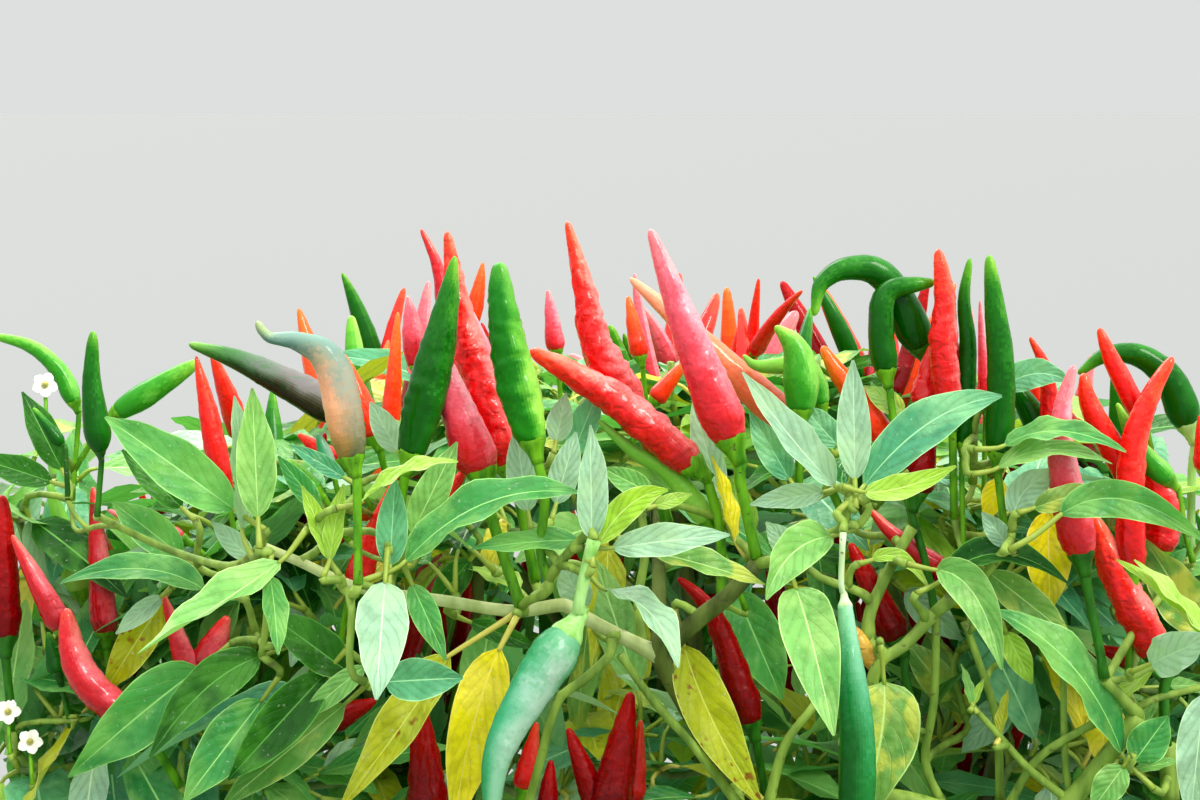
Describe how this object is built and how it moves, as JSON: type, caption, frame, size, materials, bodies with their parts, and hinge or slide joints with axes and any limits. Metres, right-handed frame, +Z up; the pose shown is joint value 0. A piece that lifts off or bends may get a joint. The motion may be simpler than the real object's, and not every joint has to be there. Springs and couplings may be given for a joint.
{
  "type": "chilli pepper plant",
  "caption": "Bushy chilli pepper plant: a single stem that forks into boughs and limbs, with a domed crown of foliage and upright ripening pods.",
  "frame": {"origin": "centre of the flat cut under the main stem, at ground level", "axes": "+Z up, -Y towards the side that the picture shows, +X to the right in it"},
  "size_m": [0.4122, 0.4298, 0.5014],
  "materials": {
    "stem_woody": "ridged, dull green-brown bark, corky at the foot",
    "stem_green": "ribbed green stem, satin",
    "foliage": "soft mid-green leaves with a satin sheen",
    "pods": "waxy, glossy red, orange and green skin",
    "blossom": "soft matt white petals"
  },
  "bodies": {
    "root": {"bough_back": "stem_green", "bough_front": "stem_green", "bough_left": "stem_green", "bough_right": "stem_green", "foliage_crest_1": "foliage", "foliage_crown_1": "foliage", "foliage_crown_2": "foliage", "foliage_crown_3": "foliage", "foliage_crown_4": "foliage", "foliage_crown_5": "foliage", "foliage_crown_6": "foliage", "foliage_shoulder_1": "foliage", "foliage_shoulder_2": "foliage", "foliage_shoulder_3": "foliage", "foliage_shoulder_4": "foliage", "foliage_shoulder_5": "foliage", "foliage_shoulder_6": "foliage", "foliage_shoulder_7": "foliage", "foliage_shoulder_8": "foliage", "foliage_shoulder_9": "foliage", "foliage_skirt_1": "foliage", "foliage_skirt_2": "foliage", "foliage_skirt_3": "foliage", "foliage_skirt_4": "foliage", "foliage_skirt_5": "foliage", "foliage_skirt_6": "foliage", "foliage_skirt_7": "foliage", "foliage_skirt_8": "foliage", "foliage_skirt_9": "foliage", "foliage_under_1": "foliage", "foliage_under_2": "foliage", "foliage_under_3": "foliage", "foliage_under_4": "foliage", "limb_back_left": "stem_green", "limb_back_right": "stem_green", "limb_back_top": "stem_green", "limb_front_left": "stem_green", "limb_front_out": "stem_green", "limb_front_right": "stem_green", "limb_front_top": "stem_green", "limb_left_back": "stem_green", "limb_left_front": "stem_green", "limb_left_out": "stem_green", "limb_right_back": "stem_green", "limb_right_front": "stem_green", "limb_right_out": "stem_green", "main_stem": "stem_woody"}
  },
  "joints": []
}
